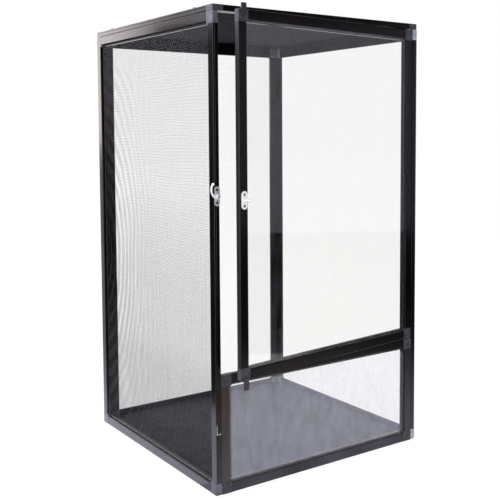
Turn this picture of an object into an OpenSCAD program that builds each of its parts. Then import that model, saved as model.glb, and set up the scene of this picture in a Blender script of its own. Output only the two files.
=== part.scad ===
// Screen terrarium: five framed panels, a hinged clear door, a lift-out floor and a swing-hook catch.
// X runs left to right along the front, Y from the front to the back, Z up.
// The origin is the middle of the footprint, on the surface that the cage stands on.

/* [Cage] */
// Width across the outside of the side panels
cage_w = 450; // [300:5:700]
// Depth from the front edges to the outside of the back panel
cage_d = 450; // [300:5:700]
// Height from the ground to the top of the lid
cage_h = 800; // [500:5:1200]

/* [Frame section] */
// Width of the hollow tube of the frame section
tube_w = 16; // [12:0.5:24]
// Thickness of the frame section, which is the thickness of a panel
rail_t = 10; // [8:0.5:16]
// Wall thickness of the tube
tube_wall = 1.2; // [0.8:0.1:1.6]
// Rounding of the tube's outer corners
tube_round = 1.2; // [0.6:0.1:1.6]
// Width of the groove that grips the screen or carries the pane
groove_w = 3; // [2.4:0.1:5]
// Thickness of the lip along the groove
lip_t = 1; // [0.8:0.1:2]
// How far the lip lies behind the outer face of the panel
lip_setback = 5; // [4:0.25:6]
// Depth of the drill line along the outer edge
drill_line = 0.4; // [0.2:0.1:0.6]
// Distance of the drill line from the outer face
drill_line_in = 3.2; // [2:0.1:4.5]

/* [Corner keys] */
// Length of each leg inside its tube
key_leg = 24; // [12:1:40]
// Clearance round a leg
key_clear = 0.15; // [0.05:0.05:0.4]
// Length of the narrower tip of a leg
key_tip = 2; // [1:0.25:4]
// How far the tip's sides step in
key_tip_in = 1; // [0.4:0.1:1.5]
// Rounding of the key's outer corner
key_round = 2.5; // [1:0.5:4]
// Step along the edges of the key's two faces
key_step = 0.4; // [0.2:0.1:0.8]

/* [Infill] */
// Thickness of the insect screen
screen_t = 0.5; // [0.3:0.1:1]
// Openings of a screen's grid from side to side, and from front to back on the lid
screen_cells_across = 6; // [4:1:10]
// Openings of a screen's grid from bottom to top
screen_cells_up = 11; // [6:1:12]
// Width of the strands between the openings
screen_strand = 4; // [2:0.5:8]
// Thickness of the clear panes
pane_t = 2.5; // [1.5:0.25:3.5]
// Clearance round a pane, a screen and a sealing strip
infill_clear = 0.2; // [0.1:0.05:0.4]

/* [Lower front] */
// Height of the fixed panel under the door
lower_h = 200.5; // [120:0.5:320]

/* [Door] */
// Gap between the door and the left side panel
door_gap_free = 3; // [2:0.25:6]
// Gap between the door and the right side panel
door_gap_hinge = 2.6; // [2.6:0.2:5]
// Gap under the door
door_gap_bottom = 1.2; // [1.2:0.1:3]
// Gap between the door and the lid
door_gap_top = 2; // [1:0.25:4]
// How far the closed door stands proud of the front edges
door_proud = 0.4; // [0.3:0.05:0.8]
// Angle at which the door stands ajar
door_ajar = 6.8; // [0:0.1:60]

/* [Door hinge] */
// Diameter of the hinge pins
pin_d = 4; // [3:0.25:5]
// Radial play of a pin in the fixed keys
pin_play = 0.05; // [0.02:0.01:0.1]
// Radial clearance of a pin in the door's keys
pin_seat = 0.02; // [0.01:0.01:0.05]
// Distance from the door's edge to the middle of the pins
pin_inset = 4; // [3.5:0.25:4.5]
// Depth of the pins in the door
pin_in_door = 12; // [8:1:18]
// Depth of the pins in the lid and in the crossbar
pin_in_frame = 6; // [4:0.5:8]
// Free depth at the end of each pin's hole
pin_end_gap = 1; // [0.5:0.25:2]
// Diameter of the washer that carries the door
washer_d = 8; // [6:0.5:9]
// Clearance between the washer and the door
washer_clear = 0.3; // [0.2:0.05:0.5]

/* [Door stops] */
// Width of each stop tab
stop_w = 10; // [8:0.5:14]
// Height of each stop tab
stop_h = 20.5; // [16:0.5:26]
// Thickness of each stop tab
stop_t = 2; // [1.5:0.25:3]
// Rounding of a stop tab's corners
stop_round = 1; // [0.5:0.25:3]
// Distance from the door's free edge to a stop tab
stop_inset = 4.5; // [2:0.5:6]
// How far the upper tab reaches above the door
stop_reach_top = 9; // [5:0.5:11]
// How far the lower tab reaches below the door
stop_reach_bottom = 16; // [8:0.5:18]

/* [Catch] */
// Height of the catch above the ground
catch_z = 494.5; // [400:0.5:700]
// Width of the catch plate
catch_plate_w = 10; // [8:0.25:12]
// Height of the catch plate
catch_plate_h = 32; // [28:0.5:40]
// Thickness of the catch plate and of the keeper plate
plate_t = 1.2; // [1:0.1:2]
// Distance of the two catch screws from the pivot
catch_screw_off = 10.5; // [9:0.25:12]
// Diameter of the rivet that the hook turns on
rivet_d = 3; // [2:0.25:4]
// Radial play of the hook on its rivet
rivet_play = 0.05; // [0.02:0.01:0.1]
// Diameter of the rivet's head
rivet_head_d = 6.4; // [5:0.25:8]
// Thickness of the rivet's head
rivet_head_t = 1; // [0.8:0.1:2]
// Bevel along the edge of the rivet's head
rivet_bevel = 0.5; // [0.2:0.1:0.7]
// Gap between the hook's eye and the rivet's head
rivet_gap = 0.3; // [0.2:0.05:0.6]
// Diameter of the hook's round eye
hook_eye_d = 8; // [7:0.25:10]
// Diameter of the hook's curved bar
hook_bar_d = 3; // [2:0.25:3.5]
// Radius of the hook's curve
hook_r = 15; // [15:0.25:18]
// Distance from the rivet to the centre of the hook's curve
hook_centre_off = 11.3; // [11:0.1:12]
// Direction from the rivet to the centre of the hook's curve
hook_centre_dir = 77; // [70:1:85]
// Direction of the hook's free end from the centre of its curve
hook_tip_dir = 144; // [130:1:160]
// Direction of the hook's root from the centre of its curve
hook_root_dir = 262; // [258:1:266]
// Diameter of the ball grip at the hook's end
hook_ball_d = 4.8; // [4:0.2:6]
// Gap between the catch plate and the hook
hook_gap = 0.4; // [0.3:0.05:0.8]
// Gap between the hook's bar and the keeper plate of the closed door
hook_keeper_gap = 0.5; // [0.3:0.05:1]

/* [Keeper] */
// Width of the keeper plate
keeper_w = 12; // [10:0.25:14]
// Height of the keeper plate
keeper_h = 29; // [26:0.5:36]
// Distance from the door's free edge to the middle of the keeper
keeper_inset = 8.5; // [8:0.25:9]
// Height of the hook's rivet above the keeper's stud
keeper_drop = 4.5; // [3.5:0.25:5.5]
// Diameter of the stud's neck
stud_neck_d = 5; // [4:0.2:5]
// Diameter of the stud's knob
stud_knob_d = 6.8; // [6:0.2:8]
// Length of the stud's neck
stud_neck_l = 6; // [5:0.25:8]
// Length of the stud's knob
stud_knob_l = 8; // [6:0.25:12]
// Bevel along the edge of the stud's knob
stud_bevel = 1.2; // [0.4:0.1:2]
// Distance of the two keeper screws from the stud
keeper_screw_off = 9; // [8:0.25:10]

/* [Screws] */
// Shank diameter of the small plate screws
small_screw_d = 2.4; // [2:0.1:3]
// Head diameter of the small plate screws
small_head_d = 4.8; // [4:0.1:5.4]
// Length of the small plate screws
small_screw_l = 7; // [5:0.5:8]
// Shank diameter of the frame screws
frame_screw_d = 2.9; // [2.2:0.1:3.5]
// Head diameter of the frame screws
frame_head_d = 6; // [5:0.1:7]
// Height of the frame screws' heads
frame_head_h = 1.8; // [1.2:0.1:2.4]
// Bevel along the edge of the frame screws' heads
frame_head_bevel = 0.8; // [0.3:0.1:1]
// Length of a frame screw past the panel that it holds
frame_screw_bite = 6; // [4:0.5:7]
// Radial clearance of a screw in the panel that it holds
screw_clear = 0.2; // [0.1:0.05:0.5]
// Length of the cross recess in the screws' heads
recess_l = 2.9; // [2:0.1:3.4]
// Width of the cross recess
recess_w = 0.7; // [0.4:0.1:1]
// Depth of the cross recess
recess_depth = 0.6; // [0.3:0.1:0.9]
// Distance of the lid screws past the legs of the corner keys
lid_screw_past = 21; // [6:1:60]
// Distance of the back panel's outer screws past the legs of its corner keys
back_screw_past = 16; // [6:1:60]

/* [Floor] */
// Thickness of the floor board
floor_t = 10; // [3:0.5:14]
// Clearance round the floor board
floor_clear = 0.4; // [0.2:0.1:1]
// Rounding of the floor board's corners
floor_round = 1; // [0.5:0.5:5]

/* [Hidden] */
$fn = 48;
rail_w = tube_w + groove_w + lip_t;
lip_top = rail_t - lip_setback;
side_h = cage_h - rail_t;
inner_w = cage_w - 2 * rail_t;
front_y = -cage_d / 2;

// the closed door, before it is set ajar
door_x = -cage_w / 2 + rail_t + door_gap_free;
door_w = inner_w - door_gap_free - door_gap_hinge;
door_z = lower_h + door_gap_bottom;
door_h = side_h - door_z - door_gap_top;
door_front = front_y - door_proud;
pin_x = door_x + door_w - pin_inset;
pin_y = door_front + rail_t / 2;
washer_t = door_gap_bottom - washer_clear;

// the catch, from its rivet; the hook lies in front of the keeper plate of the closed door
catch_x = -cage_w / 2 + rail_t / 2;
keeper_x = door_x + keeper_inset;
keeper_z = catch_z - keeper_drop;
hook_bar_y = door_front - plate_t - hook_keeper_gap - hook_bar_d / 2;
hook_eye_back = front_y - plate_t - hook_gap;
hook_eye_t = hook_eye_back - hook_bar_y + hook_bar_d / 2;
hook_cx = hook_centre_off * cos(hook_centre_dir);
hook_cz = hook_centre_off * sin(hook_centre_dir);
hook_tip_x = hook_cx + hook_r * cos(hook_tip_dir);
hook_tip_z = hook_cz + hook_r * sin(hook_tip_dir);
hook_tip_y = hook_bar_y + hook_bar_d / 2 - hook_ball_d / 2;

lid_screw_x = cage_w / 2 - rail_t / 2;
lid_screw_y = cage_d / 2 - rail_w - key_leg - lid_screw_past;
back_screw_x = inner_w / 2 - rail_w - key_leg - back_screw_past;
back_screw_y = cage_d / 2 - rail_t / 2;

// how far a cutter runs past the face that it cuts
past = 1;

// ---- colours ----
module anodised() color([0.13, 0.12, 0.13]) children();
module key_plastic() color([0.38, 0.37, 0.41]) children();
module screen_black() color([0.16, 0.16, 0.17, 0.45]) children();
module clear_sheet() color([0.82, 0.88, 0.92, 0.25]) children();
module rubber() color([0.30, 0.30, 0.26]) children();
module bright_chrome() color([0.82, 0.83, 0.85]) children();
module bare_steel() color([0.62, 0.63, 0.65]) children();
module black_plastic() color([0.10, 0.10, 0.11]) children();
module black_steel() color([0.18, 0.18, 0.19]) children();
module floor_pvc() color([0.22, 0.21, 0.24]) children();

// ---- placing: a panel is drawn flat, with its inner face on z = 0 and its outer face up ----
module on_left() translate([-cage_w / 2 + rail_t, cage_d / 2, 0]) rotate([90, 0, -90]) children();
module on_right() translate([cage_w / 2 - rail_t, front_y, 0]) rotate([90, 0, 90]) children();
module on_back() translate([inner_w / 2, cage_d / 2 - rail_t, 0]) rotate([90, 0, 180]) children();
module on_lid() translate([-cage_w / 2, front_y, side_h]) children();
module on_lower() translate([-inner_w / 2, front_y + rail_t, 0]) rotate([90, 0, 0]) children();
module on_closed_door() translate([door_x, door_front + rail_t, door_z]) rotate([90, 0, 0]) children();
module set_ajar() {
  translate([pin_x, pin_y, 0])
    rotate([0, 0, door_ajar])
      translate([-pin_x, -pin_y, 0])
        children();
}
module on_door() set_ajar() on_closed_door() children();

// ---- frame section: outer edge on the Y axis, inner face on the X axis ----
module round_box_2d(w, h, r) {
  translate([r, 0]) square([w - 2 * r, h]);
  translate([0, r]) square([w, h - 2 * r]);
  for (x = [r, w - r], y = [r, h - r]) translate([x, y]) circle(r);
}

module section_2d() {
  difference() {
    union() {
      round_box_2d(tube_w, rail_t, tube_round);
      translate([tube_w - tube_wall, 0]) square([rail_w - tube_w + tube_wall, tube_wall]);
      translate([rail_w - lip_t, 0]) square([lip_t, lip_top]);
    }
    translate([tube_wall, tube_wall]) square([tube_w - 2 * tube_wall, rail_t - 2 * tube_wall]);
    translate([0, rail_t - drill_line_in]) rotate(45) square(drill_line * sqrt(2), center = true);
  }
}

module spline_2d() {
  strip_w = groove_w - 2 * infill_clear;
  translate([tube_w + infill_clear, tube_wall]) square([strip_w, lip_top - tube_wall - strip_w / 2]);
  translate([tube_w + groove_w / 2, lip_top - strip_w / 2]) circle(d = strip_w);
}

module gasket_2d() {
  translate([tube_w + infill_clear, tube_wall])
    square([groove_w - 2 * infill_clear, lip_top - tube_wall]);
}

// sweeps a section along X between two corner keys of a panel that is span long
module along_bottom(span) {
  translate([rail_w, 0, 0]) rotate([90, 0, 90]) linear_extrude(span - 2 * rail_w) children();
}
module along_left(span) mirror([1, -1, 0]) along_bottom(span) children();
module along_top(span, high) translate([0, high, 0]) mirror([0, 1, 0]) along_bottom(span) children();
module along_right(span, wide) translate([wide, 0, 0]) mirror([1, 0, 0]) along_left(span) children();

module bottom_rail(w, h) along_bottom(w) section_2d();
module top_rail(w, h) along_top(w, h) section_2d();
module left_stile(w, h) along_left(h) section_2d();
module right_stile(w, h) along_right(h, w) section_2d();

// ---- corner key: a block at the corner, and a leg in each tube ----
module key_block_2d(inset) {
  size = rail_w - 2 * inset;
  translate([inset, inset]) {
    translate([key_round, 0]) square([size - key_round, size]);
    translate([0, key_round]) square([size, size - key_round]);
    translate([key_round, key_round]) circle(key_round);
  }
}

module key_leg_solid() {
  leg_w = tube_w - 2 * tube_wall - 2 * key_clear;
  leg_t = rail_t - 2 * tube_wall - 2 * key_clear;
  start = rail_w - key_step;
  translate([start, tube_wall + key_clear, tube_wall + key_clear]) {
    cube([key_leg + key_step - key_tip, leg_w, leg_t]);
    translate([0, key_tip_in, key_tip_in])
      cube([key_leg + key_step, leg_w - 2 * key_tip_in, leg_t - 2 * key_tip_in]);
  }
}

module corner_key() {
  translate([0, 0, key_step]) linear_extrude(rail_t - 2 * key_step) key_block_2d(0);
  linear_extrude(rail_t) key_block_2d(key_step);
  key_leg_solid();
  mirror([1, -1, 0]) key_leg_solid();
}

module key_bottom_left() corner_key();
module key_bottom_right(w) translate([w, 0, 0]) mirror([1, 0, 0]) corner_key();
module key_top_left(h) translate([0, h, 0]) mirror([0, 1, 0]) corner_key();
module key_top_right(w, h) translate([w, h, 0]) rotate([0, 0, 180]) corner_key();

module four_keys(w, h) {
  key_bottom_left();
  key_bottom_right(w);
  key_top_left(h);
  key_top_right(w, h);
}

// ---- infill: a sheet that lies on the lips and clears the corner keys ----
module sheet(w, h, edge, thick) {
  corner = rail_w + infill_clear;
  translate([0, 0, lip_top]) linear_extrude(thick) {
    translate([edge, corner]) square([w - 2 * edge, h - 2 * corner]);
    translate([corner, edge]) square([w - 2 * corner, h - 2 * edge]);
  }
}

// the fine weave is drawn as a plain grid of openings
module screen_openings(w, h, across, up) {
  step_x = (w - 2 * rail_w) / across;
  step_y = (h - 2 * rail_w) / up;
  for (i = [0:across - 1], j = [0:up - 1])
    translate([rail_w + i * step_x + screen_strand / 2, rail_w + j * step_y + screen_strand / 2])
      square([step_x - screen_strand, step_y - screen_strand]);
}
module screen_sheet(w, h, up) difference() {
  sheet(w, h, rail_w - lip_t, screen_t);
  translate([0, 0, lip_top - past])
    linear_extrude(screen_t + 2 * past) screen_openings(w, h, screen_cells_across, up);
}
module pane_sheet(w, h) sheet(w, h, tube_w + infill_clear, pane_t);

module four_strips(w, h) {
  along_bottom(w) children();
  along_top(w, h) children();
  along_left(h) children();
  along_right(h, w) children();
}

module bevelled_disc(h, d, bevel) {
  cylinder(h = h - bevel, d = d);
  translate([0, 0, h - bevel]) cylinder(h = bevel, d1 = d, d2 = d - 2 * bevel);
}

// ---- screws: the head's seat on z = 0, the shank down, the head up ----
module cross_recess(top) {
  for (turn = [0, 90])
    rotate([0, 0, turn])
      translate([-recess_l / 2, -recess_w / 2, top - recess_depth])
        cube([recess_l, recess_w, recess_depth + past]);
}

module countersunk_screw() {
  difference() {
    union() {
      translate([0, 0, -plate_t])
        cylinder(h = plate_t, d1 = small_screw_d, d2 = small_head_d);
      translate([0, 0, -small_screw_l]) cylinder(h = small_screw_l, d = small_screw_d);
    }
    cross_recess(0);
  }
}

module countersink() {
  translate([0, 0, -plate_t]) cylinder(h = plate_t, d1 = small_screw_d, d2 = small_head_d);
  translate([0, 0, -plate_t - past]) cylinder(h = plate_t + past, d = small_screw_d);
}

module pan_screw(held) {
  difference() {
    union() {
      bevelled_disc(frame_head_h, frame_head_d, frame_head_bevel);
      translate([0, 0, -held - frame_screw_bite])
        cylinder(h = held + frame_screw_bite, d = frame_screw_d);
    }
    cross_recess(frame_head_h);
  }
}

// a hole for a frame screw: loose in the held panel, tight in the one behind it
module screw_hole(held) {
  translate([0, 0, -held - past]) cylinder(h = held + 2 * past, d = frame_screw_d + 2 * screw_clear);
}
module screw_bite(held) {
  translate([0, 0, -held - frame_screw_bite - past])
    cylinder(h = frame_screw_bite + 2 * past, d = frame_screw_d);
}

module at_lid_screws() {
  for (x = [-lid_screw_x, lid_screw_x], y = [-lid_screw_y, lid_screw_y])
    translate([x, y, cage_h]) children();
}
module at_back_screws() {
  for (x = [-back_screw_x, 0, back_screw_x]) translate([x, back_screw_y, cage_h]) children();
}

// ---- left side panel ----
module left_front_stile() anodised() difference() {
  on_left() right_stile(cage_d, side_h);
  at_catch() catch_holes();
}
module left_rear_stile() anodised() on_left() left_stile(cage_d, side_h);
module left_top_rail() anodised() difference() {
  on_left() top_rail(cage_d, side_h);
  at_lid_screws() screw_bite(rail_t);
}
module left_bottom_rail() anodised() on_left() bottom_rail(cage_d, side_h);
module left_corner_keys() key_plastic() on_left() four_keys(cage_d, side_h);
module left_mesh() screen_black() on_left() screen_sheet(cage_d, side_h, screen_cells_up);
module left_spline() rubber() on_left() four_strips(cage_d, side_h) spline_2d();

// ---- right side panel ----
module right_front_stile() anodised() on_right() left_stile(cage_d, side_h);
module right_rear_stile() anodised() on_right() right_stile(cage_d, side_h);
module right_top_rail() anodised() difference() {
  on_right() top_rail(cage_d, side_h);
  at_lid_screws() screw_bite(rail_t);
}
module right_bottom_rail() anodised() on_right() bottom_rail(cage_d, side_h);
module right_corner_keys() key_plastic() on_right() four_keys(cage_d, side_h);
module right_mesh() screen_black() on_right() screen_sheet(cage_d, side_h, screen_cells_up);
module right_spline() rubber() on_right() four_strips(cage_d, side_h) spline_2d();

// ---- back panel ----
module back_left_stile() anodised() on_back() right_stile(inner_w, side_h);
module back_right_stile() anodised() on_back() left_stile(inner_w, side_h);
module back_top_rail() anodised() difference() {
  on_back() top_rail(inner_w, side_h);
  at_back_screws() screw_bite(rail_t);
}
module back_bottom_rail() anodised() on_back() bottom_rail(inner_w, side_h);
module back_corner_keys() key_plastic() on_back() four_keys(inner_w, side_h);
module back_mesh() screen_black() on_back() screen_sheet(inner_w, side_h, screen_cells_up);
module back_spline() rubber() on_back() four_strips(inner_w, side_h) spline_2d();
module back_screws() black_steel() at_back_screws() pan_screw(rail_t);

// ---- lid ----
module lid_front_rail() anodised() on_lid() bottom_rail(cage_w, cage_d);
module lid_rear_rail() anodised() difference() {
  on_lid() top_rail(cage_w, cage_d);
  at_back_screws() screw_hole(rail_t);
}
module lid_left_rail() anodised() difference() {
  on_lid() left_stile(cage_w, cage_d);
  at_lid_screws() screw_hole(rail_t);
}
module lid_right_rail() anodised() difference() {
  on_lid() right_stile(cage_w, cage_d);
  at_lid_screws() screw_hole(rail_t);
}
module lid_corner_keys() key_plastic() on_lid() {
  key_bottom_left();
  key_top_left(cage_d);
  key_top_right(cage_w, cage_d);
}
module lid_hinge_key() key_plastic() difference() {
  on_lid() key_bottom_right(cage_w);
  translate([pin_x, pin_y, side_h - past])
    cylinder(h = pin_in_frame + pin_end_gap + past, d = pin_d + 2 * pin_play);
}
module lid_mesh() screen_black() on_lid() screen_sheet(cage_w, cage_d, screen_cells_across);
module lid_spline() rubber() on_lid() four_strips(cage_w, cage_d) spline_2d();
module lid_screws() black_steel() at_lid_screws() pan_screw(rail_t);

// ---- fixed lower front ----
module lower_left_stile() anodised() on_lower() left_stile(inner_w, lower_h);
module lower_right_stile() anodised() on_lower() right_stile(inner_w, lower_h);
module lower_top_rail() anodised() on_lower() top_rail(inner_w, lower_h);
module lower_bottom_rail() anodised() on_lower() bottom_rail(inner_w, lower_h);
module lower_corner_keys() key_plastic() on_lower() {
  key_bottom_left();
  key_bottom_right(inner_w);
  key_top_left(lower_h);
}
module lower_hinge_key() key_plastic() difference() {
  on_lower() key_top_right(inner_w, lower_h);
  translate([pin_x, pin_y, lower_h - pin_in_frame - pin_end_gap])
    cylinder(h = pin_in_frame + pin_end_gap + past, d = pin_d + 2 * pin_play);
}
module lower_pane() clear_sheet() on_lower() pane_sheet(inner_w, lower_h);
module lower_gasket() rubber() on_lower() four_strips(inner_w, lower_h) gasket_2d();

// ---- door ----
module door_free_stile() anodised() difference() {
  on_door() left_stile(door_w, door_h);
  at_keeper() keeper_holes();
}
module door_hinge_stile() anodised() on_door() right_stile(door_w, door_h);
module door_top_rail() anodised() on_door() top_rail(door_w, door_h);
module door_bottom_rail() anodised() on_door() bottom_rail(door_w, door_h);
module door_free_keys() key_plastic() on_door() {
  key_bottom_left();
  key_top_left(door_h);
}
module door_hinge_keys() key_plastic() difference() {
  on_door() {
    key_bottom_right(door_w);
    key_top_right(door_w, door_h);
  }
  translate([pin_x, pin_y, door_z - past])
    cylinder(h = pin_in_door + past, d = pin_d + 2 * pin_seat);
  translate([pin_x, pin_y, door_z + door_h - pin_in_door])
    cylinder(h = pin_in_door + past, d = pin_d + 2 * pin_seat);
}
module door_pane() clear_sheet() on_door() pane_sheet(door_w, door_h);
module door_gasket() rubber() on_door() four_strips(door_w, door_h) gasket_2d();
module door_hinge_pins() bare_steel() {
  translate([pin_x, pin_y, lower_h - pin_in_frame])
    cylinder(h = pin_in_frame + door_gap_bottom + pin_in_door, d = pin_d);
  translate([pin_x, pin_y, door_z + door_h - pin_in_door])
    cylinder(h = pin_in_door + door_gap_top + pin_in_frame, d = pin_d);
}
module hinge_washer() black_plastic() translate([pin_x, pin_y, lower_h]) difference() {
  cylinder(h = washer_t, d = washer_d);
  translate([0, 0, -past]) cylinder(h = washer_t + 2 * past, d = pin_d + 2 * pin_play);
}

module stop_tab() linear_extrude(stop_t) round_box_2d(stop_w, stop_h, stop_round);
module door_stops() black_plastic() on_door() {
  translate([stop_inset, door_h + stop_reach_top - stop_h, rail_t]) stop_tab();
  translate([stop_inset, -stop_reach_bottom, rail_t]) stop_tab();
}

// ---- floor ----
module floor_board() floor_pvc() {
  board_w = inner_w - 2 * floor_clear;
  board_d = cage_d - 2 * rail_t - 2 * floor_clear;
  translate([-board_w / 2, front_y + rail_t + floor_clear, 0]) linear_extrude(floor_t)
    round_box_2d(board_w, board_d, floor_round);
}

// ---- catch on the left side panel: z of each small part points out of the front ----
module at_catch() translate([catch_x, front_y, catch_z]) rotate([90, 0, 0]) children();

module slot_plate_2d(w, h) {
  translate([0, (h - w) / 2]) circle(d = w);
  translate([0, -(h - w) / 2]) circle(d = w);
  translate([-w / 2, -(h - w) / 2]) square([w, h - w]);
}
module at_catch_screws() {
  for (side = [-1, 1]) translate([0, side * catch_screw_off, plate_t]) children();
}
module catch_holes() {
  for (side = [-1, 1])
    translate([0, side * catch_screw_off, -tube_wall - past])
      cylinder(h = tube_wall + 2 * past, d = small_screw_d);
  translate([0, 0, -tube_wall - past]) cylinder(h = tube_wall + 2 * past, d = rivet_d);
}
module catch_plate() bright_chrome() at_catch() difference() {
  linear_extrude(plate_t) slot_plate_2d(catch_plate_w, catch_plate_h);
  at_catch_screws() countersink();
  translate([0, 0, -past]) cylinder(h = plate_t + 2 * past, d = rivet_d);
}
module catch_screws() bright_chrome() at_catch() at_catch_screws() countersunk_screw();
module catch_rivet() bright_chrome() at_catch() {
  shank_top = plate_t + hook_gap + hook_eye_t + rivet_gap;
  translate([0, 0, -tube_wall]) cylinder(h = tube_wall + shank_top, d = rivet_d);
  translate([0, 0, shank_top]) bevelled_disc(rivet_head_t, rivet_head_d, rivet_bevel);
}

// the hook is drawn in the X-Z plane round its rivet and swings on the rivet's axis
module catch_hook() bright_chrome() translate([catch_x, 0, catch_z]) difference() {
  union() {
    translate([0, hook_eye_back, 0]) rotate([90, 0, 0]) cylinder(h = hook_eye_t, d = hook_eye_d);
    translate([hook_cx, hook_bar_y, hook_cz])
      rotate([90, 0, 0])
        rotate([0, 0, hook_tip_dir])
          rotate_extrude(angle = hook_root_dir - hook_tip_dir)
            translate([hook_r, 0]) circle(d = hook_bar_d);
    translate([hook_tip_x, hook_tip_y, hook_tip_z]) sphere(d = hook_ball_d);
  }
  translate([0, hook_eye_back + past, 0]) rotate([90, 0, 0])
    cylinder(h = hook_eye_t + 2 * past, d = rivet_d + 2 * rivet_play);
}

// ---- keeper on the door's free stile ----
module at_keeper() {
  set_ajar() translate([keeper_x, door_front, keeper_z]) rotate([90, 0, 0]) children();
}
module at_keeper_screws() {
  for (side = [-1, 1]) translate([0, side * keeper_screw_off, plate_t]) children();
}
module keeper_holes() {
  for (y = [-keeper_screw_off, 0, keeper_screw_off])
    translate([0, y, -tube_wall - past]) cylinder(h = tube_wall + 2 * past, d = small_screw_d);
}
module keeper_plate() bright_chrome() at_keeper() difference() {
  linear_extrude(plate_t) slot_plate_2d(keeper_w, keeper_h);
  at_keeper_screws() countersink();
  translate([0, 0, -past]) cylinder(h = plate_t + 2 * past, d = small_screw_d);
}
module keeper_screws() bright_chrome() at_keeper() at_keeper_screws() countersunk_screw();
module keeper_stud() bright_chrome() at_keeper() {
  translate([0, 0, plate_t - small_screw_l]) cylinder(h = small_screw_l, d = small_screw_d);
  translate([0, 0, plate_t]) {
    cylinder(h = stud_neck_l, d = stud_neck_d);
    translate([0, 0, stud_neck_l]) bevelled_disc(stud_knob_l, stud_knob_d, stud_bevel);
  }
}

left_front_stile();
left_rear_stile();
left_top_rail();
left_bottom_rail();
left_corner_keys();
left_mesh();
left_spline();
right_front_stile();
right_rear_stile();
right_top_rail();
right_bottom_rail();
right_corner_keys();
right_mesh();
right_spline();
back_left_stile();
back_right_stile();
back_top_rail();
back_bottom_rail();
back_corner_keys();
back_mesh();
back_spline();
lid_front_rail();
lid_rear_rail();
lid_left_rail();
lid_right_rail();
lid_corner_keys();
lid_hinge_key();
lid_mesh();
lid_spline();
lower_left_stile();
lower_right_stile();
lower_top_rail();
lower_bottom_rail();
lower_corner_keys();
lower_hinge_key();
lower_pane();
lower_gasket();
door_free_stile();
door_hinge_stile();
door_top_rail();
door_bottom_rail();
door_free_keys();
door_hinge_keys();
door_pane();
door_gasket();
door_hinge_pins();
door_stops();
hinge_washer();
floor_board();
catch_plate();
catch_rivet();
catch_screws();
catch_hook();
keeper_plate();
keeper_stud();
keeper_screws();
lid_screws();
back_screws();
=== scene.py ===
# %% [markdown]
# # Dressing a tall screen cage for reptiles
# The cage is a box of framed panels. Each frame is cut from one hollow, black anodised aluminium
# section and held at its corners by smoke-grey plastic keys. Insect screen fills the sides, the back
# and the lid; clear acrylic fills the door and the low panel under it. This lesson loads the packed
# model, gives every part its finish, and builds the woven screens wire by wire.

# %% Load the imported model
import math

import bpy
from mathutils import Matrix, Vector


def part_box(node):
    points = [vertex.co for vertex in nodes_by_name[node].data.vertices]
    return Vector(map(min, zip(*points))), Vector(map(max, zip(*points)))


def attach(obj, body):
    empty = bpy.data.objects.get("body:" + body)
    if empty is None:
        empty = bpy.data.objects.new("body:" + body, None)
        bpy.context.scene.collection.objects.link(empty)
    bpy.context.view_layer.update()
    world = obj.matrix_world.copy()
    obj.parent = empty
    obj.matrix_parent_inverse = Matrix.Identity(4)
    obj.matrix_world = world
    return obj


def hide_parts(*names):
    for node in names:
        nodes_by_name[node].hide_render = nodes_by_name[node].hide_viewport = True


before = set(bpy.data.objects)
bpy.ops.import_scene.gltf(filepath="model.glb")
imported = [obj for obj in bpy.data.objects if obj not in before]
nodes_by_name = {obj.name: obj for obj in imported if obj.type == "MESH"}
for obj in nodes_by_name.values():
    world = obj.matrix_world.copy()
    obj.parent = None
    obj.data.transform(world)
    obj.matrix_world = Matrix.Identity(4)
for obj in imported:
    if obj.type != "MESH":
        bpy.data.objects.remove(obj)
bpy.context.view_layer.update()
print("parts loaded:", len(nodes_by_name))

# %% [markdown]
# The camera stands in front and to the left, a little above the cage's middle, with a normal lens.
# The lens is shifted, as on a view camera, so that the camera hardly has to tilt and the cage's
# upright edges stay almost parallel. A direction is easiest to set as an azimuth and an elevation,
# which are two of the camera's Euler angles; the slight roll is then a turn about its own axis.

# %% Camera
CAMERA_PLACE = (-0.9162, -1.3666, 0.5904)
CAMERA_AZIMUTH = math.radians(35.26)
CAMERA_ELEVATION = math.radians(-3.93)
CAMERA_ROLL = math.radians(-0.27)
SENSOR_WIDTH = 36.0
FOCAL_LENGTH = 59.99
LENS_SHIFT = (-0.0466, -0.1132)
CAMERA_REACH = 100.0

bpy.ops.object.camera_add(location=CAMERA_PLACE)
camera = bpy.context.object
camera.name = "camera"
camera.rotation_euler = (math.pi / 2 + CAMERA_ELEVATION, 0.0, -CAMERA_AZIMUTH)
camera.rotation_euler.rotate_axis("Z", CAMERA_ROLL)
camera.data.sensor_width = SENSOR_WIDTH
camera.data.lens = FOCAL_LENGTH
camera.data.shift_x, camera.data.shift_y = LENS_SHIFT
camera.data.clip_end = CAMERA_REACH
bpy.context.scene.camera = camera
print("camera turned to", [round(math.degrees(a), 2) for a in camera.rotation_euler])

# %% [markdown]
# Every finish starts the same way: a pattern is read at Object coordinates. They are metres from the
# cage's foot, so a pattern has a real size and stays on a part that moves. Generated coordinates
# would stretch with each part's box, and a UV map would have to be unwrapped first. One Mapping node
# turns the coordinates and a second one stretches them.

# %% Helpers: a material and where its pattern is read
EVEN = (1.0, 1.0, 1.0)


def new_finish(name):
    """A material, its nodes and links, and its Principled shader."""
    material = bpy.data.materials.new(name)
    material.use_nodes = True
    tree = material.node_tree
    return material, tree.nodes, tree.links, tree.nodes["Principled BSDF"]


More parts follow.
